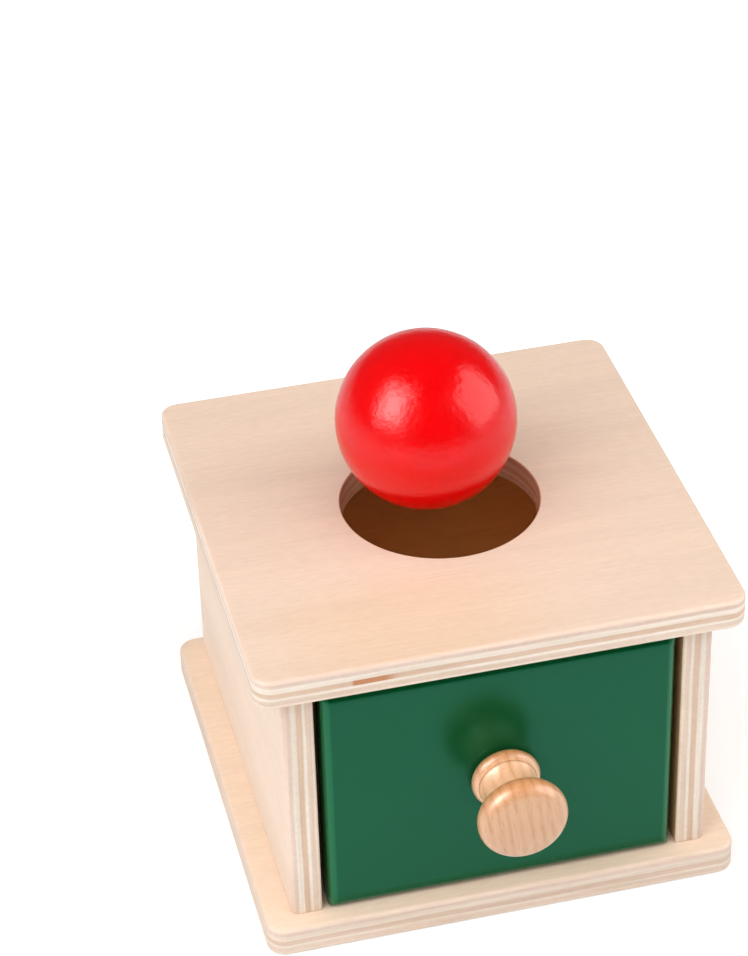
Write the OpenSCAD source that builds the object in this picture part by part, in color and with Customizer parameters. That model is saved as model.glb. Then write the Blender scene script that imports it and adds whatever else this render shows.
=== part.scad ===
// Object permanence box: a plywood box with a round hole in its top, a painted drawer and a ball.
// Sizes are in millimetres. The origin is the middle of the underside of the base, +Z is up,
// and the drawer opens towards -Y. The ball is held just over the hole that it drops through.

/* [Case] */
// Width of the top and base panels
panel_w = 140; // [120:1:180]
// Depth of the top and base panels
panel_d = 140; // [120:1:180]
// Thickness of the plywood of the case
ply_t = 9; // [8:0.5:12]
// Height of the side and back panels between the base and the top
side_h = 82; // [70:1:110]
// Overhang of the top and base past each side panel
side_overhang = 8; // [4:0.5:12]
// Overhang of the top and base past the front of the sides
front_overhang = 6; // [3:0.5:10]
// Overhang of the top and base past the back of the case
back_overhang = 2; // [1:0.5:8]
// Plan radius of the corners of the top and base
corner_r = 5.5; // [3:0.5:10]
// Rounding of the upper edges of the top and base
edge_r = 1; // [0.5:0.1:2]
// Rounding of the lower edges of the top and base
low_edge_r = 0.5; // [0.3:0.1:2]
// Rounding of the inner upright edges of the side panels, and of the back of the drawer front
side_edge_r = 0.8; // [0.4:0.1:1.5]
// Rounding of the outer upright edges of the side panels
side_outer_r = 2.2; // [0.5:0.1:3]

/* [Hole] */
// Diameter of the hole that the ball drops through
hole_d = 58; // [55:0.5:66]
// Chamfer of the rim of the hole, above and below
hole_ease = 0.5; // [0.2:0.1:1]

/* [Drawer] */
// Gap between the drawer front and each side panel
front_side_gap = 2; // [1:0.1:4]
// Gap between the drawer front and the base
front_low_gap = 0.3; // [0.2:0.1:2]
// Gap between the drawer front and the top
front_top_gap = 4; // [0.5:0.1:5]
// Thickness of the drawer front
front_t = 9; // [8:0.5:12]
// How far the drawer front stands out past the front edges of the sides
front_proud = 0.8; // [0:0.1:3]
// Rounding of the outer edges of the drawer front
front_edge_r = 2.8; // [1:0.1:3]
// Gap between the drawer sides and the case sides
box_side_gap = 2.5; // [1.5:0.1:4]
// Running gap between the drawer sides and the base
run_gap = 0.3; // [0.2:0.1:1]
// Gap between the drawer back and the back panel that stops it
stop_gap = 0.3; // [0.2:0.1:2]
// Thickness of the drawer sides and back
wall_t = 6; // [6:0.5:8]
// Height of the drawer sides and back
wall_h = 68; // [50:1:72]
// Thickness of the drawer floor
floor_t = 3; // [2:0.5:4]
// Height of the floor above the lower edge of the drawer sides
floor_up = 4; // [3:0.5:8]
// Depth of the groove that holds the floor
groove_deep = 3; // [2:0.25:4]
// Clearance between the floor and its groove
floor_fit = 0.1; // [0.05:0.05:0.3]

/* [Knob] */
// Height of the knob over the lower edge of the drawer front
knob_up = 39.4; // [25:0.1:50]
// Offset of the knob to the right of the middle of the drawer front
knob_off = 0.7; // [-3:0.1:3]
// Diameter of the collar at the foot of the knob
collar_d = 20; // [18:0.5:24]
// Thickness of the collar
collar_t = 4.5; // [3:0.25:6]
// Diameter of the narrowest part of the neck
neck_d = 14; // [12:0.5:16]
// Diameter of the neck where it meets the collar and the head
neck_end_d = 17.2; // [16:0.2:18]
// Diameter of the head
head_d = 26; // [25:0.2:32]
// Rounding radius of the rim of the head
rim_r = 4.2; // [3:0.1:4.5]
// Distance from the drawer front to the widest part of the head
head_out = 19; // [18:0.2:24]
// Overall length of the knob
knob_l = 24; // [23.4:0.1:24.6]

/* [Ball] */
// Diameter of the ball
ball_d = 52; // [44.5:0.5:54]
// Height of the underside of the ball over the top, as it is held
ball_lift = 2.4; // [1:0.1:40]
// Sideways offset of the ball from the axis of the hole, as it is held
ball_off = -3.7; // [-6:0.1:6]

/* [Joinery] */
// Diameter of the dowels between the top and the walls
dowel_d = 5; // [4:0.5:6]
// Length of the dowels between the top and the walls
dowel_l = 16; // [12:1:20]
// Depth of those dowels in the top
dowel_in = 6; // [4:0.5:6.5]
// Distance of the side panels' dowels and screws from the ends of the panel
side_inset = 22; // [15:1:30]
// Distance of the back panel's dowels and screws from the ends of the panel
back_inset = 20; // [15:1:30]
// Diameter of the dowels of the drawer
pin_d = 4; // [3:0.25:4.5]
// Length of the dowels between the drawer front and sides
front_pin_l = 16; // [12:1:24]
// Depth of those dowels in the drawer front
front_pin_in = 5.5; // [4:0.5:6]
// Length of the dowels between the drawer sides and back
back_pin_l = 14; // [10:1:20]
// Depth of those dowels in the drawer sides
back_pin_in = 4; // [3:0.25:4.5]
// Distance of the upper and lower dowels from the edges of the drawer walls
pin_inset = 15; // [12:0.5:20]
// Clearance round each dowel and screw in its hole
joint_fit = 0.05; // [0.02:0.01:0.1]
// Spare depth of each blind hole
spare_deep = 0.6; // [0.3:0.1:1]
// Chamfer of the ends of the dowels
dowel_ease = 0.5; // [0.2:0.1:0.8]

/* [Screws] */
// Diameter of the wood screws through the base
screw_d = 3; // [2.5:0.25:4]
// Length of the wood screws through the base
screw_l = 25; // [18:1:35]
// Diameter of the countersunk heads
screw_head_d = 5.8; // [5:0.1:6.5]
// Depth of the screw heads below the underside of the base
screw_sink = 0.4; // [0.3:0.1:1]
// Length of the point of each screw
screw_tip = 4; // [2:0.5:5]
// Diameter of the screw that holds the knob
knob_screw_d = 3.5; // [3:0.25:4]
// Length of the screw that holds the knob, under its head
knob_screw_l = 20; // [16:1:24]
// Diameter of the head of the knob screw
knob_head_d = 7; // [6:0.25:9]
// Thickness of the head of the knob screw
knob_head_t = 2.4; // [2:0.1:3]
// Width of the cross slot in the screw heads
slot_w = 0.8; // [0.5:0.1:1]
// Depth of the cross slot in the screw heads
slot_deep = 1; // [0.5:0.1:1.2]

/* [Hidden] */
// How far a cut runs past the face that it opens
overrun = 1;
// Length of the cross slot as a share of its screw head
slot_share = 0.6;
$fn = 96;
birch = "#ead3b1";
green_paint = "#1e5a3a";
red_lacquer = "#d01018";
beech = "#e0b283";
steel = "#b9bcc0";

// Case levels and faces
top_low = ply_t + side_h;
top_high = top_low + ply_t;
side_out = panel_w / 2 - side_overhang;
side_in = side_out - ply_t;
face_y = front_overhang - panel_d / 2;
rear_y = panel_d / 2 - back_overhang;
stop_y = rear_y - ply_t;
side_l = rear_y - face_y;
side_mid = side_out - ply_t / 2;
back_mid = rear_y - ply_t / 2;
side_joint_y = [face_y + side_inset, rear_y - side_inset];
back_joint_x = [back_inset - side_in, side_in - back_inset];
// Places of the joints at the top and bottom edges of the walls
wall_joints = concat(
    [for (x = [-side_mid, side_mid], y = side_joint_y) [x, y]],
    [for (x = back_joint_x) [x, back_mid]]);

// Drawer front
front_w = 2 * (side_in - front_side_gap);
front_low = ply_t + front_low_gap;
front_h = side_h - front_low_gap - front_top_gap;
front_y = face_y - front_proud;
front_back_y = front_y + front_t;

// Drawer box
wall_out = side_in - box_side_gap;
wall_in = wall_out - wall_t;
wall_low = ply_t + run_gap;
wall_high = wall_low + wall_h;
box_end_y = stop_y - stop_gap;
back_face_y = box_end_y - wall_t;
box_l = box_end_y - front_back_y;
groove_low = wall_low + floor_up;
groove_h = floor_t + 2 * floor_fit;
floor_in = groove_deep - floor_fit;
pin_levels = [wall_low + pin_inset, wall_high - pin_inset];
wall_mid = wall_out - wall_t / 2;
back_pin_y = box_end_y - wall_t / 2;

// Knob
knob_z = front_low + knob_up;
collar_r = collar_d / 2;
neck_r = neck_d / 2;
rim_x = head_d / 2 - rim_r;
head_foot = head_out - rim_r;
cove_mid = (collar_t + head_foot) / 2;
// The hollow curve of the neck is an arc from the collar to the head
cove_half = (head_foot - collar_t) / 2;
cove_deep = (neck_end_d - neck_d) / 2;
cove_r = (cove_half * cove_half + cove_deep * cove_deep) / (2 * cove_deep);
// The low dome of the face runs smoothly into the rounded rim of the head
dome_rise = knob_l - head_out;
dome_mid = (rim_x * rim_x + head_out * head_out - (knob_l - rim_r) * (knob_l - rim_r))
    / (2 * (head_out - knob_l + rim_r));
dome_r = knob_l - dome_mid;
dome_edge = dome_r * rim_x / (dome_r - rim_r);
knob_hole_l = knob_screw_l - front_t + spare_deep;

// Ball
ball_z = top_high + ball_lift + ball_d / 2;

// Waste outside one rounded corner of a section, which the corner's own circle leaves standing
module corner_waste(r) {
    difference() {
        square([r + overrun, r + overrun]);
        circle(r);
    }
}

// Outer edge of a panel in section: a strip with both outer corners rounded
module edge_section(wide, thick, low_r, high_r) {
    difference() {
        square([wide, thick]);
        translate([wide - low_r, low_r]) mirror([0, 1]) corner_waste(low_r);
        translate([wide - high_r, thick - high_r]) corner_waste(high_r);
    }
}

// Panel with rounded corners in plan and rounded edges, standing on z = 0
module rounded_panel(wide, deep, thick, corner, low_r, high_r) {
    flat_w = wide - 2 * corner;
    flat_d = deep - 2 * corner;
    translate([-flat_w / 2, -flat_d / 2, 0]) cube([flat_w, flat_d, thick]);
    for (turn = [0, 180]) rotate(turn) {
        translate([flat_w / 2, flat_d / 2, 0]) rotate([90, 0, 0]) linear_extrude(flat_d)
            edge_section(corner, thick, low_r, high_r);
        translate([-flat_w / 2, flat_d / 2, 0]) rotate([90, 0, 90]) linear_extrude(flat_w)
            edge_section(corner, thick, low_r, high_r);
        translate([flat_w / 2, flat_d / 2, 0]) rotate_extrude(angle = 90)
            edge_section(corner, thick, low_r, high_r);
        translate([-flat_w / 2, flat_d / 2, 0]) rotate(90) rotate_extrude(angle = 90)
            edge_section(corner, thick, low_r, high_r);
    }
}

// Board with square corners in plan and the edges of all four sides rounded, standing on z = 0
module routed_board(wide, deep, thick, low_r, high_r) {
    intersection() {
        translate([0, deep / 2, 0]) rotate([90, 0, 0]) linear_extrude(deep)
            for (side = [0, 1]) mirror([side, 0]) edge_section(wide / 2, thick, low_r, high_r);
        translate([-wide / 2, 0, 0]) rotate([90, 0, 90]) linear_extrude(wide)
            for (side = [0, 1]) mirror([side, 0]) edge_section(deep / 2, thick, low_r, high_r);
    }
}

// Glued dowel with chamfered ends, standing on z = 0
module dowel(wide, long) {
    r = wide / 2;
    rotate_extrude() polygon([[0, 0], [r - dowel_ease, 0], [r, dowel_ease], [r, long - dowel_ease],
        [r - dowel_ease, long], [0, long]]);
}

// Blind hole for a dowel, from z = 0 upwards, open at the bottom
module dowel_hole(wide, long) {
    translate([0, 0, -overrun]) cylinder(d = wide + 2 * joint_fit, h = overrun + long + spare_deep);
}

// Cross slot cut into a screw head, from z = 0 upwards
module cross_slot(wide) {
    for (turn = [0, 90]) rotate(turn)
        translate([-wide / 2, -slot_w / 2, -overrun]) cube([wide, slot_w, overrun + slot_deep]);
}

// Countersunk wood screw, head at z = 0, pointing up
module wood_screw() {
    difference() {
        rotate_extrude() polygon([[0, 0], [screw_head_d / 2, 0], [screw_d / 2, (screw_head_d - screw_d) / 2],
            [screw_d / 2, screw_l - screw_tip], [0, screw_l]]);
        cross_slot(screw_head_d * slot_share);
    }
}

// Hole for a countersunk screw through a panel from z = 0, and on into the wall above it
module screw_hole() {
    rise = (screw_head_d - screw_d) / 2;
    rotate_extrude() polygon([[0, -overrun], [screw_head_d / 2 + joint_fit, -overrun],
        [screw_head_d / 2 + joint_fit, screw_sink], [screw_d / 2 + joint_fit, screw_sink + rise],
        [screw_d / 2 + joint_fit, screw_sink + screw_l + spare_deep], [0, screw_sink + screw_l + spare_deep]]);
}

// Upright panel with rounded long edges at both ends, from y = 0 to deep, its outer face at x = 0
module side_board(deep, thick, high, outer_r, inner_r) {
    linear_extrude(high) union() {
        translate([0, outer_r]) square([outer_r, deep - 2 * outer_r]);
        translate([outer_r, 0]) square([thick - outer_r - inner_r, deep]);
        translate([thick - inner_r, inner_r]) square([inner_r, deep - 2 * inner_r]);
        for (y = [outer_r, deep - outer_r]) translate([outer_r, y]) circle(outer_r);
        for (y = [inner_r, deep - inner_r]) translate([thick - inner_r, y]) circle(inner_r);
    }
}

// All the holes of the joints in the upper and lower edges of the walls
module wall_holes() {
    for (p = wall_joints) {
        translate([p[0], p[1], top_low]) mirror([0, 0, 1]) dowel_hole(dowel_d, dowel_l - dowel_in);
        translate([p[0], p[1], 0]) screw_hole();
    }
}

module base_panel() {
    color(birch) difference() {
        rounded_panel(panel_w, panel_d, ply_t, corner_r, low_edge_r, edge_r);
        for (p = wall_joints) translate([p[0], p[1], 0]) screw_hole();
    }
}

module side_panel(flip) {
    color(birch) difference() {
        mirror([flip, 0, 0]) translate([-side_out, face_y, ply_t])
            side_board(side_l, ply_t, side_h, side_outer_r, side_edge_r);
        wall_holes();
    }
}

module left_side() {
    side_panel(0);
}

module right_side() {
    side_panel(1);
}

module back_panel() {
    color(birch) difference() {
        translate([-side_in, stop_y, ply_t]) cube([2 * side_in, ply_t, side_h]);
        wall_holes();
    }
}

module top_panel() {
    hole_r = hole_d / 2;
    color(birch) difference() {
        translate([0, 0, top_low]) rounded_panel(panel_w, panel_d, ply_t, corner_r, low_edge_r, edge_r);
        translate([0, 0, top_low - overrun]) cylinder(r = hole_r, h = ply_t + 2 * overrun);
        translate([0, 0, top_high - hole_ease]) cylinder(r1 = hole_r, r2 = hole_r + hole_ease + overrun,
            h = hole_ease + overrun);
        translate([0, 0, top_low - overrun]) cylinder(r1 = hole_r + hole_ease + overrun, r2 = hole_r,
            h = hole_ease + overrun);
        for (p = wall_joints) translate([p[0], p[1], top_low]) dowel_hole(dowel_d, dowel_in);
    }
}

module top_dowels() {
    color(beech) for (p = wall_joints)
        translate([p[0], p[1], top_low + dowel_in - dowel_l]) dowel(dowel_d, dowel_l);
}

module base_screws() {
    color(steel) for (p = wall_joints) translate([p[0], p[1], screw_sink]) wood_screw();
}

// Groove for the drawer floor, cut round the inside of all four drawer walls
module floor_groove() {
    translate([-wall_in - groove_deep, front_back_y - groove_deep, groove_low])
        cube([2 * (wall_in + groove_deep), back_face_y - front_back_y + 2 * groove_deep, groove_h]);
}

// Holes for the dowels between the drawer front and sides
module front_pin_holes() {
    for (x = [-wall_mid, wall_mid], z = pin_levels) translate([x, front_back_y, z]) {
        rotate([90, 0, 0]) dowel_hole(pin_d, front_pin_in);
        rotate([-90, 0, 0]) dowel_hole(pin_d, front_pin_l - front_pin_in);
    }
}

// Holes for the dowels between the drawer sides and back
module back_pin_holes() {
    for (side = [-1, 1], z = pin_levels) translate([side * wall_in, back_pin_y, z]) {
        rotate([0, side * 90, 0]) dowel_hole(pin_d, back_pin_in);
        rotate([0, -side * 90, 0]) dowel_hole(pin_d, back_pin_l - back_pin_in);
    }
}

module drawer_front() {
    color(green_paint) difference() {
        translate([0, front_back_y, front_low + front_h / 2]) rotate([90, 0, 0])
            routed_board(front_w, front_h, front_t, side_edge_r, front_edge_r);
        floor_groove();
        front_pin_holes();
        translate([knob_off, front_y - overrun, knob_z]) rotate([-90, 0, 0])
            cylinder(d = knob_screw_d + 2 * joint_fit, h = front_t + 2 * overrun);
    }
}

module drawer_side(x) {
    color(birch) difference() {
        translate([x, front_back_y, wall_low]) cube([wall_t, box_l, wall_h]);
        floor_groove();
        front_pin_holes();
        back_pin_holes();
    }
}

module drawer_left_side() {
    drawer_side(-wall_out);
}

module drawer_right_side() {
    drawer_side(wall_in);
}

module drawer_back() {
    color(birch) difference() {
        translate([-wall_in, back_face_y, wall_low]) cube([2 * wall_in, wall_t, wall_h]);
        floor_groove();
        back_pin_holes();
    }
}

module drawer_floor() {
    color(birch) translate([-wall_in - floor_in, front_back_y - floor_in, groove_low])
        cube([2 * (wall_in + floor_in), back_face_y - front_back_y + 2 * floor_in, floor_t]);
}

module drawer_front_dowels() {
    color(beech) for (x = [-wall_mid, wall_mid], z = pin_levels)
        translate([x, front_back_y - front_pin_in, z]) rotate([-90, 0, 0]) dowel(pin_d, front_pin_l);
}

module drawer_back_dowels() {
    color(beech) for (side = [-1, 1], z = pin_levels)
        translate([side * (wall_in + back_pin_in), back_pin_y, z]) rotate([0, -side * 90, 0])
            dowel(pin_d, back_pin_l);
}

// Half of the turned knob in section: collar with a rounded rim, hollow neck, domed head
module knob_section() {
    bead_r = collar_t / 2;
    square([collar_r - bead_r, collar_t]);
    translate([collar_r - bead_r, bead_r]) circle(bead_r);
    difference() {
        square([neck_end_d / 2, head_out]);
        translate([neck_r + cove_r, cove_mid]) circle(cove_r);
    }
    translate([0, head_foot]) square([rim_x, rim_r]);
    translate([rim_x, head_out]) circle(rim_r);
    intersection() {
        translate([0, dome_mid]) circle(dome_r);
        translate([0, head_out]) square([dome_edge, dome_rise]);
    }
}

module knob() {
    color(beech) translate([knob_off, front_y, knob_z]) rotate([90, 0, 0]) difference() {
        rotate_extrude() intersection() {
            knob_section();
            square([head_d, knob_l]);
        }
        translate([0, 0, -overrun]) cylinder(d = knob_screw_d + 2 * joint_fit, h = overrun + knob_hole_l);
    }
}

module knob_screw() {
    r = knob_screw_d / 2;
    color(steel) translate([knob_off, front_back_y, knob_z]) rotate([90, 0, 0]) difference() {
        rotate_extrude() polygon([[0, -knob_head_t], [knob_head_d / 2 - dowel_ease, -knob_head_t],
            [knob_head_d / 2, dowel_ease - knob_head_t], [knob_head_d / 2, 0], [r, 0],
            [r, knob_screw_l - screw_tip], [0, knob_screw_l]]);
        translate([0, 0, -knob_head_t]) cross_slot(knob_head_d * slot_share);
    }
}

module ball() {
    color(red_lacquer) translate([ball_off, 0, ball_z]) sphere(d = ball_d);
}

base_panel();
left_side();
right_side();
back_panel();
top_panel();
top_dowels();
base_screws();
drawer_front();
drawer_left_side();
drawer_right_side();
drawer_back();
drawer_floor();
drawer_front_dowels();
drawer_back_dowels();
knob();
knob_screw();
ball();
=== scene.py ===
import math

import bmesh
import bpy
from bmesh.types import BMEdge, BMVert
from mathutils import Matrix, Vector, noise


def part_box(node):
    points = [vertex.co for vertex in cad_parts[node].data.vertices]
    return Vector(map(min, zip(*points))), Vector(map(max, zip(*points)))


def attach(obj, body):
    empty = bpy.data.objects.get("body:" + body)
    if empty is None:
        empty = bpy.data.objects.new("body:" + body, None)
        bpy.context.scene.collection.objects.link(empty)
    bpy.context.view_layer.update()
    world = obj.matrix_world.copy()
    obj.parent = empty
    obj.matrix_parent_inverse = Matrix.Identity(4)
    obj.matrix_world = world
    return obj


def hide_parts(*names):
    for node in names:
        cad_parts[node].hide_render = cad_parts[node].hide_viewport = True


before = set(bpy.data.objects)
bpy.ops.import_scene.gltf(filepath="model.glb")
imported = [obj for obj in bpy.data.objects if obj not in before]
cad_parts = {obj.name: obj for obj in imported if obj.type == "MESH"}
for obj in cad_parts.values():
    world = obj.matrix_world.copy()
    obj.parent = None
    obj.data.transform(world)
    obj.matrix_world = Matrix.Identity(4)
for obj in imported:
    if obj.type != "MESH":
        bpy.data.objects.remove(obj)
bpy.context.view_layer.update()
scene = bpy.context.scene
X, Y, Z = 0, 1, 2


# Base panel
# A square of 9 mm birch plywood that the walls stand on. Its corners are sawn round and its edges sanded
# soft, and six countersunk screws come up through it into the walls.

def set_socket(tree, socket, value):
    """Joins a socket of a finish to another one, or sets it to a number, a direction or a colour."""
    if isinstance(value, bpy.types.NodeSocket):
        tree.links.new(value, socket)
    elif socket.type == "RGBA":
        socket.default_value = (*value, 1.0)
    else:
        socket.default_value = value


def joined(tree, kind, **inputs):
    """A new node of a finish, with its inputs set to values or joined to other nodes."""
    made = tree.nodes.new(kind)
    for name, value in inputs.items():
        set_socket(tree, made.inputs[name.replace("_", " ")], value)
    return made


def new_finish(name):
    """An empty finish: its tree, its shader and the object's own coordinates."""
    finish = bpy.data.materials.new(name)
    finish.use_nodes = True
    tree = finish.node_tree
    place = tree.nodes.new("ShaderNodeTexCoord").outputs["Object"]
    return finish, tree, tree.nodes["Principled BSDF"], place


def sums(tree, operation, *values):
    """One step of arithmetic between sockets and numbers."""
    step = tree.nodes.new("ShaderNodeMath")
    step.operation = operation
    for socket, value in zip(step.inputs, values):
        set_socket(tree, socket, value)
    return step.outputs[0]


def ranged(tree, value, start, end, first=0.0, last=1.0):
    """A number that goes from first to last while another goes from start to end."""
    return joined(tree, "ShaderNodeMapRange", Value=value, From_Min=start, From_Max=end,
                  To_Min=first, To_Max=last).outputs[0]


def axes_of(tree, place):
    """The X, Y and Z of a place or a direction."""
    return joined(tree, "ShaderNodeSeparateXYZ", Vector=place).outputs


def facing(tree, axis):
    """How squarely the surface faces along one axis, from 0 to 1."""
    normal = tree.nodes.new("ShaderNodeTexCoord").outputs["Normal"]
    return sums(tree, "ABSOLUTE", axes_of(tree, normal)[axis])


def moved(tree, place, **changes):
    """Coordinates that are stretched, turned or shifted."""
    return joined(tree, "ShaderNodeMapping", Vector=place, **changes).outputs[0]


def distance(tree, place):
    """How far a point lies from the middle of its coordinates."""
    measure = tree.nodes.new("ShaderNodeVectorMath")
    measure.operation = "LENGTH"
    tree.links.new(place, measure.inputs[0])
    return measure.outputs["Value"]


def streaks(tree, place, per_metre, detail=2.0, roughness=0.55):
    """Noise drawn out along the wood: per_metre is how many grains there are in a metre each way."""
    return joined(tree, "ShaderNodeTexNoise", Vector=moved(tree, place, Scale=per_metre), Scale=1.0,
                  Detail=detail, Roughness=roughness).outputs[0]


def graded(tree, factor, stops):
    """Colours or greys along a scale from 0 to 1."""
    ramp = tree.nodes.new("ShaderNodeValToRGB")
    tree.links.new(factor, ramp.inputs[0])
    steps = ramp.color_ramp.elements
    while len(steps) < len(stops):
        steps.new(1.0)
    for step, (at, tint) in zip(steps, stops):
        step.position = at
        step.color = (*tint, 1.0) if isinstance(tint, tuple) else (tint, tint, tint, 1.0)
    return ramp.outputs[0]


def tinted(tree, blend, factor, first, second):
    """Two colours mixed or multiplied: a mix takes its colours at sockets 6 and 7 and gives one at 2."""
    mix = tree.nodes.new("ShaderNodeMix")
    mix.data_type = "RGBA"
    mix.blend_type = blend
    for number, value in ((0, factor), (6, first), (7, second)):
        set_socket(tree, mix.inputs[number], value)
    return mix.outputs[2]


def shaded(tree, colour, pattern, stops):
    """A colour made lighter and darker by a pattern."""
    return tinted(tree, "MULTIPLY", 1.0, colour, graded(tree, pattern, stops))


def finished(tree, shader, colour, polish, rough, relief=None, strength=0.0, height=0.0):
    """Joins a colour to the shader, with a roughness from one pattern and a fine relief from another."""
    tree.links.new(colour, shader.inputs["Base Color"])
    tree.links.new(ranged(tree, polish, 0.0, 1.0, *rough), shader.inputs["Roughness"])
    if relief is not None:
        bump = joined(tree, "ShaderNodeBump", Height=relief, Strength=strength, Distance=height)
        tree.links.new(bump.outputs[0], shader.inputs["Normal"])


PALE_PLY = (0.86, 0.76, 0.66)
TAN_PLY = (0.76, 0.60, 0.485)
ROSE_PLY = (0.75, 0.59, 0.50)
CORE_PLY = (0.715, 0.52, 0.39)
OUTER_EDGE = (0.83, 0.645, 0.53)
VENEER_EDGE = (0.86, 0.72, 0.60)
PLY_TINTS = (OUTER_EDGE, ROSE_PLY, PALE_PLY, CORE_PLY, PALE_PLY, TAN_PLY, VENEER_EDGE)
PLY_SHARES = (0.11, 0.13, 0.19, 0.19, 0.10, 0.17, 0.11)
PLY_BLUR = 0.02
GRAIN_BLUR = 0.002
PLY_WAVES = (30.0, 30.0, 30.0)
PLY_WANDER = 0.0007
VENEER_STOPS = [(0.8, 0.0), (0.97, 1.0)]
FIBRES = (40.0, 1300.0, 900.0)
FIBRE_TINTS = [(0.3, 0.958), (0.72, 1.025)]
FIGURE = (6.0, 70.0, 60.0)
FIGURE_TINTS = [(0.3, 0.955), (0.7, 1.02)]
FLECKS = (260.0, 900.0, 900.0)
FLECK_TINTS = [(0.35, (1.016, 1.027, 1.04)), (0.68, (0.981, 0.967, 0.95))]
PATCHES = (24.0, 24.0, 700.0)
PATCH_TINTS = [(0.35, (0.93, 0.90, 0.87)), (0.62, 1.02)]
BIRCH_SPECULAR = 0.3
BIRCH_ROUGH = (0.42, 0.6)
BIRCH_RELIEF = 0.12
BIRCH_PORE = 0.00025


def plywood(name, low, high, across, along, veneer, outer_high=True, inner=None, faint=0.0,
            brown=None, warm=None, bore_shade=None):
    """Birch plywood as a solid: seven plies through the thickness, each with its own tint and grain.

    faint draws the plies' tints together. brown is a dark length of one ply, warm a patch of warmer veneer
    and bore_shade painted shade, darker and warmer, on the wall of a hole.
    """
    finish, tree, shader, place = new_finish(name)
    shader.inputs["Specular IOR Level"].default_value = BIRCH_SPECULAR
    over = 3 - across - along
    parts = axes_of(tree, place)
    wander = sums(tree, "SUBTRACT", streaks(tree, place, PLY_WAVES), 0.5)
    depth = sums(tree, "SUBTRACT", parts[across], low[across])
    depth = sums(tree, "MULTIPLY_ADD", wander, PLY_WANDER, depth)
    depth = sums(tree, "DIVIDE", depth, high[across] - low[across])
    plies = list(zip(PLY_SHARES, PLY_TINTS))
    if outer_high:
        plies.reverse()
    tints, turns, edge = [], [], 0.0
    for number, (share, tint) in enumerate(plies):
        tint = tuple(part + (plain - part) * faint for part, plain in zip(tint, TAN_PLY))
        turn = float(number % 2)
        tints += [(edge + PLY_BLUR, tint), (edge + share - PLY_BLUR, tint)]
        turns += [(edge + GRAIN_BLUR, turn), (edge + share - GRAIN_BLUR, turn)]
        edge += share

    def laid(pattern, turned=False):
        """A pattern's counts along the face grain, across it and through the thickness, as X, Y and Z."""
        way = [0.0, 0.0, 0.0]
        way[over if turned else along], way[along if turned else over], way[across] = pattern
        return tuple(way)

    fibre = tinted(tree, "MIX", graded(tree, depth, turns),
                   streaks(tree, place, laid(FIBRES), detail=3.0),
                   streaks(tree, place, laid(FIBRES, turned=True), detail=3.0))
    figure = streaks(tree, place, laid(FIGURE))
    colour = graded(tree, depth, tints)
    if brown:
        tint, share, begins, ends, (ply_low, ply_high) = brown
        inside = sums(tree, "MULTIPLY", ranged(tree, parts[along], *begins), ranged(tree, parts[along], *ends))
        inside = sums(tree, "MULTIPLY", inside, sums(tree, "GREATER_THAN", depth, ply_low))
        inside = sums(tree, "MULTIPLY", inside, sums(tree, "LESS_THAN", depth, ply_high))
        colour = tinted(tree, "MIX", sums(tree, "MULTIPLY", inside, share), colour, tint)
    colour = shaded(tree, colour, streaks(tree, place, laid(PATCHES)), PATCH_TINTS)
    # Inner faces take the colour given for them, which is painted shade for the boxes' insides.
    if inner:
        is_inner = sums(tree, "LESS_THAN" if outer_high else "GREATER_THAN", depth, 0.5)
        veneer = tinted(tree, "MIX", is_inner, veneer, inner)
    if warm:
        tint, middle, reach, ragged, (solid, gone) = warm
        patch = moved(tree, place, Scale=(1 / reach[X], 1 / reach[Y], 0.0),
                      Location=(-middle[X] / reach[X], -middle[Y] / reach[Y], 0.0))
        away = sums(tree, "MULTIPLY_ADD", figure, ragged, distance(tree, patch))
        warmer = tuple(part * more for part, more in zip(veneer, tint))
        veneer = graded(tree, away, [(solid, warmer), (gone, veneer)])
    colour = tinted(tree, "MIX", graded(tree, facing(tree, across), VENEER_STOPS), colour, veneer)
    # Painted shade: the wall of the hole is darkened, and warmed for the ball's red light, inside the bore's
    # radius.
    if bore_shade:
        bore_shade_tint, reach = bore_shade
        from_middle = distance(tree, moved(tree, place, Scale=laid((1.0, 1.0, 0.0))))
        colour = tinted(tree, "MULTIPLY", sums(tree, "LESS_THAN", from_middle, reach), colour, bore_shade_tint)
    colour = shaded(tree, colour, fibre, FIBRE_TINTS)
    colour = shaded(tree, colour, figure, FIGURE_TINTS)
    colour = shaded(tree, colour, streaks(tree, place, laid(FLECKS)), FLECK_TINTS)
    finished(tree, shader, colour, fibre, BIRCH_ROUGH, fibre, BIRCH_RELIEF, BIRCH_PORE)
    return finish


TOUCHING = 1e-6
UPRIGHT = 0.5
FLAT = 0.9999
CORNER_STEPS = 10


def only(kind, made):
    """The corners or the edges among what an operator made."""
    return [part for part in made if isinstance(part, kind)]


def round_over(bm, edges, radius, steps):
    """Rounds some edges of a piece."""
    bmesh.ops.bevel(bm, geom=edges, offset=radius, offset_type="OFFSET", affect="EDGES", segments=steps,
                    profile=0.5, material=-1)


def rim_edges(bm, axis, level):
    """The edges round one flat face of a piece."""
    return [e for e in bm.edges
            if len(e.link_faces) == 2 and all(abs(v.co[axis] - level) < TOUCHING for v in e.verts)
            and any(abs(f.normal[axis]) < UPRIGHT for f in e.link_faces)]


def sawn_outline(bm, low, high, level, corner_r):
    """The outline of a panel with round corners, as edges at one height."""
    size = high - low
    grid = bmesh.ops.create_grid(bm, x_segments=1, y_segments=1, size=0.5)
    bmesh.ops.scale(bm, vec=(size[X], size[Y], 1.0), verts=grid["verts"])
    bmesh.ops.translate(bm, vec=((low[X] + high[X]) / 2, (low[Y] + high[Y]) / 2, level), verts=grid["verts"])
    bmesh.ops.bevel(bm, geom=grid["verts"], offset=corner_r, offset_type="OFFSET", affect="VERTICES",
                    segments=CORNER_STEPS, profile=0.5, material=-1)
    bmesh.ops.delete(bm, geom=list(bm.faces), context="FACES_ONLY")
    return list(bm.edges)


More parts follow.
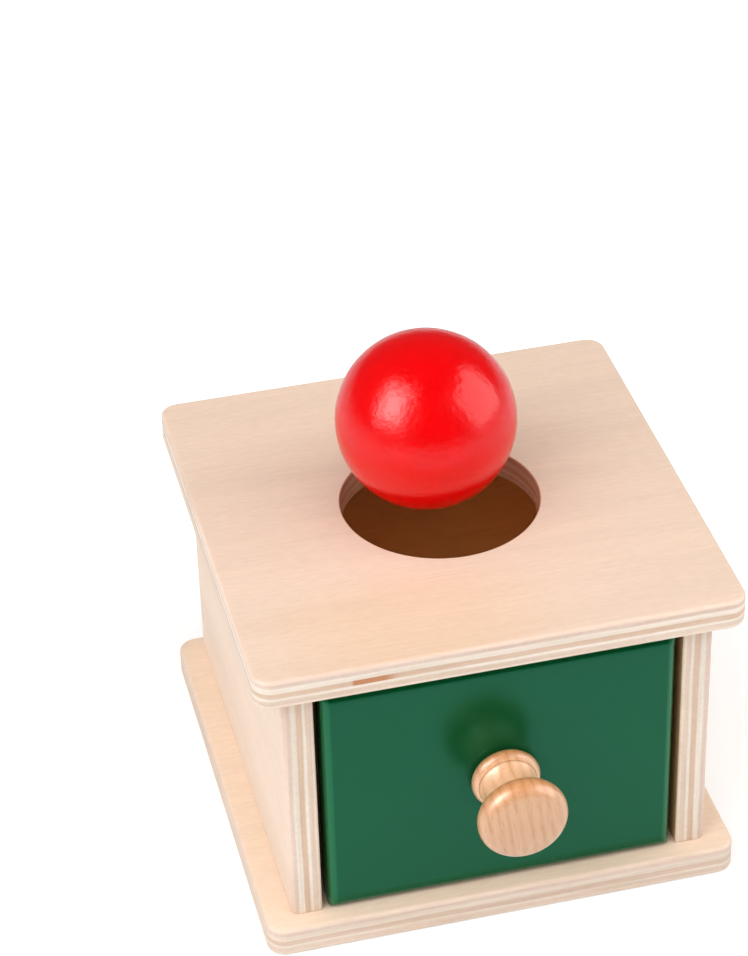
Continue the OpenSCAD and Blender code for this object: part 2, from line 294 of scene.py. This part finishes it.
def put_on(name, bm, finish, body, slot, *nodes, turned=False):
    """Makes the piece from its mesh, on its body, in place of its plain solid. A turned one is all smooth."""
    bmesh.ops.recalc_face_normals(bm, faces=list(bm.faces))
    for face in bm.faces:
        face.smooth = turned or max(abs(part) for part in face.normal) < FLAT
    mesh = bpy.data.meshes.new(name)
    bm.to_mesh(mesh)
    bm.free()
    mesh.materials.append(finish)
    piece = bpy.data.objects.new(name, mesh)
    scene.collection.objects.link(piece)
    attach(piece, body)
    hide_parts(*nodes)


PANEL_CORNER = 0.0055
PANEL_EDGE = 0.001
PANEL_EDGE_STEPS = 5
PANEL_LOW_EDGE = 0.0005
PANEL_LOW_STEPS = 3
BIRCH_FACE = (0.86, 0.67, 0.515)
BASE_FAINT = 0.4
RIM_REACH = 0.0675
SCREW_HEAD_R = 0.00295
SCREW_SHANK_R = 0.00155
SCREW_SINK = 0.0004
SCREW_INSET = 0.022
SCREW_BACK_INSET = 0.020
SINK_SIDES = 32

base_low, base_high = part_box("base_panel")
side_low, side_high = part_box("right_side")
back_low, back_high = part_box("back_panel")
screw_x = (side_low[X] + side_high[X]) / 2
screw_back_y = (back_low[Y] + back_high[Y]) / 2
screw_front_y = side_low[Y] + SCREW_INSET
screw_rear_y = side_high[Y] - SCREW_INSET
screw_back_x = back_high[X] - SCREW_BACK_INSET
screw_places = [(-screw_x, screw_front_y), (screw_x, screw_front_y), (-screw_x, screw_rear_y),
                (screw_x, screw_rear_y), (-screw_back_x, screw_back_y), (screw_back_x, screw_back_y)]

bm = bmesh.new()
outline = sawn_outline(bm, base_low, base_high, base_low[Z], PANEL_CORNER)
raised = bmesh.ops.extrude_edge_only(bm, edges=outline)["geom"]
bmesh.ops.translate(bm, vec=(0, 0, base_high[Z] - base_low[Z]), verts=only(BMVert, raised))
bmesh.ops.contextual_create(bm, geom=only(BMEdge, raised))
sinks = []
for x, y in screw_places:
    ring = bmesh.ops.create_circle(bm, segments=SINK_SIDES, radius=SCREW_HEAD_R,
                                   matrix=Matrix.Translation((x, y, base_low[Z])))["verts"]
    sinks.append(((x, y), list(dict.fromkeys(e for v in ring for e in v.link_edges))))
bmesh.ops.triangle_fill(bm, use_beauty=True, edges=outline + [e for _, ring in sinks for e in ring])
for (x, y), ring in sinks:
    for rise, widen in ((SCREW_SINK, 1.0), (SCREW_HEAD_R - SCREW_SHANK_R, SCREW_SHANK_R / SCREW_HEAD_R)):
        made = bmesh.ops.extrude_edge_only(bm, edges=ring)["geom"]
        ring = only(BMEdge, made)
        bmesh.ops.translate(bm, vec=(0, 0, rise), verts=only(BMVert, made))
        bmesh.ops.scale(bm, vec=(widen, widen, 1.0), verts=only(BMVert, made),
                        space=Matrix.Translation((-x, -y, 0)))
    bmesh.ops.contextual_create(bm, geom=ring)
bmesh.ops.recalc_face_normals(bm, faces=list(bm.faces))
bm.normal_update()
round_over(bm, rim_edges(bm, Z, base_high[Z]), PANEL_EDGE, PANEL_EDGE_STEPS)
bm.normal_update()
round_over(bm, [e for e in rim_edges(bm, Z, base_low[Z])
                if max(abs(v.co[axis]) for v in e.verts for axis in (X, Y)) > RIM_REACH],
           PANEL_LOW_EDGE, PANEL_LOW_STEPS)
base_plywood = plywood("base_plywood", base_low, base_high, Z, X, BIRCH_FACE, faint=BASE_FAINT)
put_on("base_board", bm, base_plywood, "case", "birch_plywood", "base_panel")


# Side panels
# Two boards of the same plywood, glued to the base and screwed from below, with their inner faces painted dark
# brown as shade. Their outer upright edges are rounded and the others eased, and their plies show at the front.

SIDE_OUTER_EDGE = 0.0022
SIDE_OUTER_STEPS = 8
SIDE_EDGE = 0.0008
SIDE_STEPS = 4
SIDE_EASE = 0.0004
EASE_STEPS = 2
SIDE_FACE = (0.86, 0.68, 0.55)
# Painted shade: the boards' inner faces, seen in the narrow gaps, are coloured dark brown for the shade there.
INNER_PAINTED_SHADE = (0.56, 0.31, 0.145)


def sawn_board(low, high):
    """A plain board that fills its box."""
    bm = bmesh.new()
    bmesh.ops.create_cube(bm, size=1.0)
    bmesh.ops.scale(bm, vec=high - low, verts=bm.verts)
    bmesh.ops.translate(bm, vec=(low + high) / 2, verts=bm.verts)
    bm.normal_update()
    return bm


def upright_edges(bm, face_x):
    """The long upright edges of a board's left or right face."""
    rise = [(e, abs(e.verts[0].co[Z] - e.verts[1].co[Z])) for e in bm.edges]
    half = max(length for _, length in rise) / 2
    return [e for e, length in rise if length > half and abs(e.verts[0].co[X] - face_x) < TOUCHING]


for side, outer_high in (("left", False), ("right", True)):
    low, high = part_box(side + "_side")
    outside, inside = (high[X], low[X]) if outer_high else (low[X], high[X])
    bm = sawn_board(low, high)
    round_over(bm, upright_edges(bm, outside), SIDE_OUTER_EDGE, SIDE_OUTER_STEPS)
    round_over(bm, upright_edges(bm, inside), SIDE_EDGE, SIDE_STEPS)
    for level in (low[Z], high[Z]):
        bm.normal_update()
        round_over(bm, rim_edges(bm, Z, level), SIDE_EASE, EASE_STEPS)
    side_plywood = plywood(side + "_plywood", low, high, X, Y, SIDE_FACE, outer_high, INNER_PAINTED_SHADE)
    put_on(side + "_board", bm, side_plywood, "case", "birch_plywood", side + "_side")


# Back panel
# A board of the same plywood between the two sides, flush with their back edges and glued all round, with its
# outer rim eased. The closed drawer ends just in front of it.

BACK_EASE = 0.0004

bm = sawn_board(back_low, back_high)
round_over(bm, rim_edges(bm, Y, back_high[Y]), BACK_EASE, EASE_STEPS)
# Its inner face is painted dark brown as shade, like the sides'.
back_plywood = plywood("back_plywood", back_low, back_high, Y, X, SIDE_FACE, inner=INNER_PAINTED_SHADE)
put_on("back_board", bm, back_plywood, "case", "birch_plywood", "back_panel")


# Top panel
# The same square of plywood as the base, glued on blind dowels, with a 58 mm hole whose rim is eased and whose
# bore is painted darker and warmer as shade. Its veneer is warmer at the front left, and a length of its core
# ply is brown.

HOLE_R = 0.029
HOLE_SIDES = 144
HOLE_EASE = 0.0005
HOLE_STEPS = 3
BORE_PAINTED_SHADE = (0.88, 0.57, 0.42)
CORE_BROWN = (0.57, 0.235, 0.10)
BROWN_SHARE = 0.9
BROWN_BEGINS = (-0.0434, -0.0426)
BROWN_ENDS = (-0.0300, -0.0340)
TOP_FACE = (0.81, 0.615, 0.482)
WARM_TINT = (1.0, 0.955, 0.87)
WARM_MIDDLE = (-0.022, -0.055)
WARM_REACH = (0.062, 0.040)
WARM_RAGGED = 0.5
WARM_FADE = (0.55, 1.0)

top_low, top_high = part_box("top_panel")
bm = bmesh.new()
sawn_outline(bm, top_low, top_high, top_low[Z], PANEL_CORNER)
bmesh.ops.create_circle(bm, segments=HOLE_SIDES, radius=HOLE_R, matrix=Matrix.Translation((0, 0, top_low[Z])))
bmesh.ops.triangle_fill(bm, use_beauty=True, edges=list(bm.edges))
lifted = bmesh.ops.extrude_face_region(bm, geom=list(bm.faces), use_keep_orig=True)["geom"]
bmesh.ops.translate(bm, vec=(0, 0, top_high[Z] - top_low[Z]), verts=only(BMVert, lifted))
bmesh.ops.recalc_face_normals(bm, faces=list(bm.faces))
bm.normal_update()
for level, ease, steps in ((top_low[Z], PANEL_LOW_EDGE, PANEL_LOW_STEPS),
                           (top_high[Z], PANEL_EDGE, PANEL_EDGE_STEPS)):
    round_over(bm, [e for e in rim_edges(bm, Z, level)
                    if all(math.hypot(v.co[X], v.co[Y]) > 2 * HOLE_R for v in e.verts)], ease, steps)
    bm.normal_update()
    round_over(bm, [e for e in rim_edges(bm, Z, level)
                    if all(math.hypot(v.co[X], v.co[Y]) < 2 * HOLE_R for v in e.verts)], HOLE_EASE, HOLE_STEPS)
    bm.normal_update()
core = PLY_TINTS.index(CORE_PLY)
core_low = sum(PLY_SHARES[core + 1:])
core_high = core_low + PLY_SHARES[core]
top_plywood = plywood("top_plywood", top_low, top_high, Z, X, TOP_FACE,
                      brown=(CORE_BROWN, BROWN_SHARE, BROWN_BEGINS, BROWN_ENDS, (core_low, core_high)),
                      warm=(WARM_TINT, WARM_MIDDLE, WARM_REACH, WARM_RAGGED, WARM_FADE),
                      bore_shade=(BORE_PAINTED_SHADE, HOLE_R + HOLE_EASE / 2))
put_on("top_board", bm, top_plywood, "case", "birch_plywood", "top_panel")


# Dowels and screws
# Six glued beech dowels hold the top on the walls, and four each hold the drawer's front and back. The base has
# six zinc-plated countersunk screws and the knob one pan-head screw. All of them keep their own solids.

DOWEL_TINT = (0.74, 0.52, 0.34)
DOWEL_GRAIN = (500.0, 500.0, 60.0)
DOWEL_TINTS = [(0.3, 0.86), (0.7, 1.04)]
DOWEL_ROUGH = 0.6
ZINC = (0.62, 0.63, 0.64)
ZINC_BLOOM = (900.0, 900.0, 900.0)
ZINC_TINTS = [(0.3, 0.82), (0.7, 1.0)]
ZINC_ROUGH = (0.28, 0.42)

dowel_finish, tree, shader, place = new_finish("beech_dowel")
shader.inputs["Roughness"].default_value = DOWEL_ROUGH
colour = shaded(tree, DOWEL_TINT, streaks(tree, place, DOWEL_GRAIN), DOWEL_TINTS)
tree.links.new(colour, shader.inputs["Base Color"])

zinc_finish, tree, shader, place = new_finish("zinc_plate")
shader.inputs["Metallic"].default_value = 1.0
bloom = streaks(tree, place, ZINC_BLOOM, detail=3.0)
finished(tree, shader, shaded(tree, ZINC, bloom, ZINC_TINTS), bloom, ZINC_ROUGH)

for finish, groups in ((dowel_finish, ("top_dowels", "drawer_front_dowels", "drawer_back_dowels")),
                       (zinc_finish, ("base_screws", "knob_screw"))):
    for group in groups:
        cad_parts[group].data.materials.clear()
        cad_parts[group].data.materials.append(finish)


# Drawer box
# Two sides and a back of 6 mm birch plywood, dowelled and glued, round a 3 mm floor that sits in grooves. They
# are pale outside, painted deep brown inside as the closed drawer's shade, and their top edges are lightly
# sanded.

WALL_EDGE = 0.0004
WALL_STEPS = 3
WALL_FACE = (0.84, 0.655, 0.51)
# Painted shade: the inside is coloured deep orange-brown for the dim, warm bounced light inside the closed
# drawer.
WALL_INNER_PAINTED_SHADE = (0.93, 0.465, 0.14)

for name, across, along, outer_high in (("drawer_left_side", X, Y, False), ("drawer_right_side", X, Y, True),
                                        ("drawer_back", Y, X, True), ("drawer_floor", Z, X, False)):
    low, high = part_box(name)
    bm = sawn_board(low, high)
    if name != "drawer_floor":
        round_over(bm, rim_edges(bm, Z, high[Z]), WALL_EDGE, WALL_STEPS)
    wall_plywood = plywood(name + "_ply", low, high, across, along, WALL_FACE, outer_high, WALL_INNER_PAINTED_SHADE)
    put_on(name.replace("drawer_", "box_"), bm, wall_plywood, "drawer", "birch_plywood", name)


# Drawer front
# A 9 mm board with its face edges rounded, sprayed all over with satin green paint. Its rounded upright edges
# are painted a lighter green as a painted highlight. It is dowelled and glued to the drawer box.

FRONT_EDGE = 0.0028
FRONT_STEPS = 8
FRONT_BACK_EDGE = 0.0008
FRONT_BACK_STEPS = 3
CORNER_LOOP = 0.0003
GREEN = (0.002, 0.064, 0.0150)
GREEN_EDGE_HIGHLIGHT = (0.012, 0.115, 0.038)
EDGE_HIGHLIGHT_STOPS = [(0.08, GREEN), (0.30, GREEN_EDGE_HIGHLIGHT)]
GREEN_MOTTLE = (60.0, 60.0, 60.0)
GREEN_TINTS = [(0.0, 0.94), (1.0, 1.06)]
GREEN_SPECULAR = 0.62
GREEN_SHEEN = (0.19, 1.0, 0.78)
GREEN_ROUGH = (0.20, 0.255)
SPRAY_PEEL = (260.0, 260.0, 260.0)
PEEL_RELIEF = 0.03
PEEL_HEIGHT = 0.0002

low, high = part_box("drawer_front")
bm = sawn_board(low, high)
round_over(bm, rim_edges(bm, Y, low[Y]), FRONT_EDGE, FRONT_STEPS)
bm.normal_update()
round_over(bm, rim_edges(bm, Y, high[Y]), FRONT_BACK_EDGE, FRONT_BACK_STEPS)
# Loops close to the corners keep the light on the long rounded edges straight.
for axis in (X, Z):
    for level in (low[axis] + FRONT_EDGE + CORNER_LOOP, high[axis] - FRONT_EDGE - CORNER_LOOP):
        spot, way = Vector(), Vector()
        spot[axis], way[axis] = level, 1.0
        bmesh.ops.bisect_plane(bm, geom=list(bm.verts) + list(bm.edges) + list(bm.faces),
                               plane_co=spot, plane_no=way)
green_finish, tree, shader, place = new_finish("satin_green")
set_socket(tree, shader.inputs["Specular IOR Level"], GREEN_SPECULAR)
set_socket(tree, shader.inputs["Specular Tint"], GREEN_SHEEN)
mottle = streaks(tree, place, GREEN_MOTTLE, detail=3.0)
# Painted highlight: the rounded upright edges are coloured a lighter green for the light they catch.
colour = shaded(tree, graded(tree, facing(tree, X), EDGE_HIGHLIGHT_STOPS), mottle, GREEN_TINTS)
finished(tree, shader, colour, mottle, GREEN_ROUGH,
         streaks(tree, place, SPRAY_PEEL, detail=1.0), PEEL_RELIEF, PEEL_HEIGHT)
put_on("green_front", bm, green_finish, "drawer", "green_paint", "drawer_front")


# Knob
# Turned from beech with the grain across it: a collar with a rounded rim, a hollow neck and a domed head, under
# clear lacquer. The end grain is burnished darker, the neck is painted paler as painted light, and a screw from
# inside the drawer holds it.

COLLAR_R = 0.010
COLLAR_T = 0.0045
NECK_R = 0.007
NECK_END_R = 0.0086
HEAD_R = 0.013
RIM_R = 0.0042
HEAD_OUT = 0.019
KNOB_L = 0.024
COLLAR_STEPS, NECK_STEPS, RIM_STEPS, DOME_STEPS, ROUND_STEPS = 14, 16, 18, 10, 96
BEECH = (0.65, 0.350, 0.188)
BEECH_PALE = (0.69, 0.39, 0.218)
BEECH_DARK = (0.585, 0.285, 0.136)
BEECH_STOPS = [(0.0, BEECH_DARK), (0.25, BEECH), (1.0, BEECH_PALE)]
GRAIN_LEAN = math.radians(8)
RING_GAP = 0.0029
RING_SCALE = math.pi / 10 / RING_GAP
RING_DRAW = (1.0, 1.0, 0.12)
RING_WAVER = 2.6
RING_WAVER_SCALE = 1.3
RINGS_FADE = (150.0, 150.0, 110.0)
FADE_STOPS = [(0.40, 0.0), (0.66, 0.34)]
BEECH_FLECKS = (1300.0, 1300.0, 150.0)
BEECH_FLECK_TINTS = [(0.60, 1.0), (0.74, (0.88, 0.79, 0.70))]
BEECH_PORES = (2600.0, 2600.0, 90.0)
BEECH_PORE_TINTS = [(0.3, 0.93), (0.7, 1.04)]
BURNISHED = (1.0, 0.84, 0.66)
BURNISHED_FACING = (0.25, 0.85)
OUTER_RADII = (0.0086, 0.0098)
NECK_PAINTED_LIGHT = (1.34, 1.38, 1.42)
LACQUER_WEIGHT = 0.9
LACQUER_IOR = 1.6
LACQUER_ROUGH = 0.30
BEECH_ROUGH = (0.28, 0.42)
BEECH_RELIEF = 0.08
BEECH_PORE = 0.0002


def swing(bm, start, centre, angle, steps):
    """Draws an arc of the profile from a point about a centre in the YZ plane, and gives its last point."""
    made = bmesh.ops.spin(bm, geom=[start], cent=centre, axis=(1, 0, 0), angle=angle, steps=steps,
                          use_duplicate=False)
    return only(BMVert, made["geom_last"])[0]


def draw_to(bm, start, point):
    """Draws a straight stretch of the profile, and gives its last point."""
    end = bm.verts.new(point)
    bm.edges.new((start, end))
    return end


low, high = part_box("knob")
foot = Vector(((low[X] + high[X]) / 2, high[Y], (low[Z] + high[Z]) / 2))


def at(radius, out):
    """A point of the knob's profile: so far from its axis, and so far out from the drawer front."""
    return foot + Vector((0, -out, radius))


bead_r = COLLAR_T / 2
rim_mid = HEAD_R - RIM_R
head_foot = HEAD_OUT - RIM_R
half = (head_foot - COLLAR_T) / 2
hollow = NECK_END_R - NECK_R
cove_r = (half * half + hollow * hollow) / (2 * hollow)
cove_turn = 2 * math.asin(half / cove_r)
dome_mid = (rim_mid ** 2 + HEAD_OUT ** 2 - (KNOB_L - RIM_R) ** 2) / (2 * (HEAD_OUT - KNOB_L + RIM_R))
dome_turn = math.asin(rim_mid / (KNOB_L - dome_mid - RIM_R))
bm = bmesh.new()
tip = bm.verts.new(at(0.0, 0.0))
tip = draw_to(bm, tip, at(COLLAR_R - bead_r, 0.0))
tip = swing(bm, tip, at(COLLAR_R - bead_r, bead_r), math.pi, COLLAR_STEPS)
tip = draw_to(bm, tip, at(NECK_END_R, COLLAR_T))
tip = swing(bm, tip, at(NECK_R + cove_r, COLLAR_T + half), -cove_turn, NECK_STEPS)
tip = draw_to(bm, tip, at(rim_mid, head_foot))
tip = swing(bm, tip, at(rim_mid, HEAD_OUT), math.pi - dome_turn, RIM_STEPS)
swing(bm, tip, at(0.0, dome_mid), dome_turn, DOME_STEPS)
bmesh.ops.spin(bm, geom=list(bm.verts) + list(bm.edges), cent=foot, axis=(0, 1, 0), angle=2 * math.pi,
               steps=ROUND_STEPS, use_merge=True, use_duplicate=False)
bmesh.ops.remove_doubles(bm, verts=list(bm.verts), dist=TOUCHING)
beech_finish, tree, shader, place = new_finish("turned_beech")
shader.inputs["Coat Weight"].default_value = LACQUER_WEIGHT
shader.inputs["Coat IOR"].default_value = LACQUER_IOR
shader.inputs["Coat Roughness"].default_value = LACQUER_ROUGH
leant = moved(tree, place, Rotation=(0.0, GRAIN_LEAN, 0.0))
rings = joined(tree, "ShaderNodeTexWave", Vector=moved(tree, leant, Scale=RING_DRAW),
               Scale=RING_SCALE, Distortion=RING_WAVER, Detail=2.0, Detail_Scale=RING_WAVER_SCALE)
faded = graded(tree, streaks(tree, leant, RINGS_FADE), FADE_STOPS)
colour = graded(tree, sums(tree, "ADD", rings.outputs["Fac"], faded), BEECH_STOPS)
colour = shaded(tree, colour, streaks(tree, leant, BEECH_FLECKS, detail=1.0), BEECH_FLECK_TINTS)
from_axis = distance(tree, moved(tree, place, Location=(-foot[X], 0.0, -foot[Z]), Scale=(1.0, 0.0, 1.0)))
outer = ranged(tree, from_axis, *OUTER_RADII)
end_grain = sums(tree, "MULTIPLY", outer, ranged(tree, facing(tree, Z), *BURNISHED_FACING))
colour = tinted(tree, "MULTIPLY", end_grain, colour, BURNISHED)
# Painted light: the neck and the inside of the collar, which the head shades, are coloured paler for the light
# they get.
behind = sums(tree, "GREATER_THAN", axes_of(tree, place)[Y], foot[Y] - head_foot)
neck = sums(tree, "MULTIPLY", behind, sums(tree, "SUBTRACT", 1.0, outer))
colour = tinted(tree, "MULTIPLY", neck, colour, NECK_PAINTED_LIGHT)
pores = streaks(tree, leant, BEECH_PORES)
colour = shaded(tree, colour, pores, BEECH_PORE_TINTS)
finished(tree, shader, colour, pores, BEECH_ROUGH, pores, BEECH_RELIEF, BEECH_PORE)
put_on("turned_knob", bm, beech_finish, "drawer", "turned_beech", "knob", turned=True)


# Ball
# A loose ball of turned wood, 52 mm across, dipped in glossy red lacquer that lies a little unevenly on it. Its
# place is over the hole, just left of the middle.

BALL_ROUNDS = 6
UNEVEN = 0.00006
UNEVEN_WAVES = 140.0
RED = (0.775, 0.0005, 0.0018)
RED_WAVES = (160.0, 160.0, 160.0)
RED_TINTS = [(0.3, 0.97), (0.7, 1.02)]
RED_SPECULAR = 0.36
RED_ROUGH = (0.15, 0.21)
RED_RUNS = (560.0, 560.0, 560.0)
RUN_RELIEF = 0.7
RUN_HEIGHT = 0.00024

low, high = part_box("ball")
ball_r = (high[Z] - low[Z]) / 2
bm = bmesh.new()
bmesh.ops.create_icosphere(bm, subdivisions=BALL_ROUNDS, radius=ball_r)
for v in bm.verts:
    v.co *= 1.0 + UNEVEN / ball_r * (noise.noise(v.co * UNEVEN_WAVES) - 1.0)
bmesh.ops.translate(bm, vec=(low + high) / 2, verts=bm.verts)
red_finish, tree, shader, place = new_finish("red_lacquer")
shader.inputs["Specular IOR Level"].default_value = RED_SPECULAR
wave = streaks(tree, place, RED_WAVES)
finished(tree, shader, shaded(tree, RED, wave, RED_TINTS), wave, RED_ROUGH,
         streaks(tree, place, RED_RUNS, detail=3.0, roughness=0.6), RUN_RELIEF, RUN_HEIGHT)
put_on("red_ball", bm, red_finish, "ball", "red_lacquer", "ball", turned=True)


# Floor, light and camera
# A white studio floor in a pale surround, with two fills from above and behind. Each soft box is a wash for the
# surfaces and lamps of its own for the reflections. The camera is where the photograph was taken from.

FLOOR_HALF = 8.0
FLOOR_DROP = 0.0002
FLOOR_WHITE = (0.86, 0.86, 0.86)
FLOOR_ROUGH = 0.9
FLOOR_SPECULAR = 0.1
FLOOR_FADE = (0.10, 0.50)
FLOOR_GLOW = (0.20, 0.80)
WHITE = (1.0, 1.0, 1.0)
SURROUND = 0.15
MIRRORED_TOWARDS = (-0.2, 0.6)
MIRRORED = (0.03, 0.11)
AIM = Vector((0.0, 0.0, 0.06))
SENSOR_MM = 36.0
LENS_MM = 113.487
LENS_SHIFT = (0.03274, -0.00901)
CAMERA_REACH = 50.0
CAMERA_PLACE = (-0.176298, -0.687170, 0.609830)
CAMERA_TURN = (54.8672, 1.8354, -13.4369)

floor_mesh = bpy.data.meshes.new("studio_floor")
bm = bmesh.new()
bmesh.ops.create_grid(bm, x_segments=1, y_segments=1, size=FLOOR_HALF)
bmesh.ops.translate(bm, vec=(0, 0, -FLOOR_DROP), verts=bm.verts)
bm.to_mesh(floor_mesh)
bm.free()
floor = bpy.data.objects.new("studio_floor", floor_mesh)
scene.collection.objects.link(floor)
white, tree, shader, place = new_finish("studio_white")
for socket, value in (("Base Color", FLOOR_WHITE), ("Roughness", FLOOR_ROUGH),
                      ("Specular IOR Level", FLOOR_SPECULAR), ("Emission Color", WHITE)):
    set_socket(tree, shader.inputs[socket], value)
rays = tree.nodes.new("ShaderNodeLightPath").outputs
glow = ranged(tree, distance(tree, place), *FLOOR_FADE, *FLOOR_GLOW)
tree.links.new(sums(tree, "MULTIPLY", rays["Is Camera Ray"], glow), shader.inputs["Emission Strength"])
floor_mesh.materials.append(white)

scene.world = bpy.data.worlds.new("studio")
scene.world.use_nodes = True
tree = scene.world.node_tree
rays = tree.nodes.new("ShaderNodeLightPath").outputs
towards = axes_of(tree, tree.nodes.new("ShaderNodeTexCoord").outputs["Generated"])
mirrored = ranged(tree, towards[Y], *MIRRORED_TOWARDS, *MIRRORED)
glossy = sums(tree, "MAXIMUM", rays["Is Glossy Ray"], rays["Is Transmission Ray"])
either = joined(tree, "ShaderNodeMix", Factor=glossy, A=SURROUND, B=mirrored)
surround = tree.nodes["Background"].inputs
tree.links.new(sums(tree, "MAXIMUM", either.outputs[0], rays["Is Camera Ray"]), surround["Strength"])
set_socket(tree, surround["Color"], WHITE)


def hang(name, lamp, towards):
    """Hangs a lamp that shines on the toy from one side."""
    hung = bpy.data.objects.new(name, lamp)
    hung.rotation_euler = Vector(towards).to_track_quat("Z", "Y").to_euler()
    scene.collection.objects.link(hung)
    return hung


for name, towards, degrees, strength in (("top_fill", (-0.18, -0.27, 0.945), 70, 1.62),
                                         ("rear_fill", (0.25, 0.85, 0.35), 150, 0.4)):
    fill = bpy.data.lights.new(name, "SUN")
    fill.energy = strength
    fill.angle = math.radians(degrees)
    fill.cycles.use_multiple_importance_sampling = False
    hang(name, fill, towards).visible_glossy = False

for name, towards, away, (wide, tall), lean, watts, shines in (
        ("left_wash", (-0.74, -0.41, 0.53), 0.85, (0.80, 0.80), 0, 4.2, False),
        ("right_wash", (0.74, -0.42, 0.55), 0.85, (0.90, 0.90), 0, 3.9, False),
        ("left_soft_box", (-0.707, -0.230, 0.669), 1.2, (0.74, 0.94), 15, 7.7, True),
        ("left_shine", (-0.707, -0.260, 0.640), 1.25, (1.04, 1.40), 15, 8.5, True),
        ("left_core", (-0.707, -0.262, 0.638), 1.22, (0.44, 0.60), 15, 4.6, True),
        ("right_soft_box", (0.855, -0.235, 0.454), 1.2, (1.20, 1.10), 0, 9.0, True),
        ("right_shine", (0.871, -0.185, 0.454), 1.25, (1.15, 1.15), 0, 4.2, True)):
    lamp = bpy.data.lights.new(name, "AREA")
    lamp.shape = "RECTANGLE"
    lamp.size, lamp.size_y = wide, tall
    lamp.energy = watts
    hung = hang(name, lamp, towards)
    hung.location = AIM + Vector(towards).normalized() * away
    turned = hung.rotation_euler.to_matrix() @ Matrix.Rotation(math.radians(lean), 3, "Z")
    hung.rotation_euler = turned.to_euler()
    hung.visible_diffuse, hung.visible_glossy = not shines, shines

lens = bpy.data.cameras.new("photo_camera")
lens.sensor_width = SENSOR_MM
lens.lens = LENS_MM
lens.shift_x, lens.shift_y = LENS_SHIFT
lens.clip_end = CAMERA_REACH
camera = bpy.data.objects.new("photo_camera", lens)
camera.location = CAMERA_PLACE
camera.rotation_euler = [math.radians(turn) for turn in CAMERA_TURN]
scene.collection.objects.link(camera)
scene.camera = camera
scene.view_settings.view_transform = "Standard"
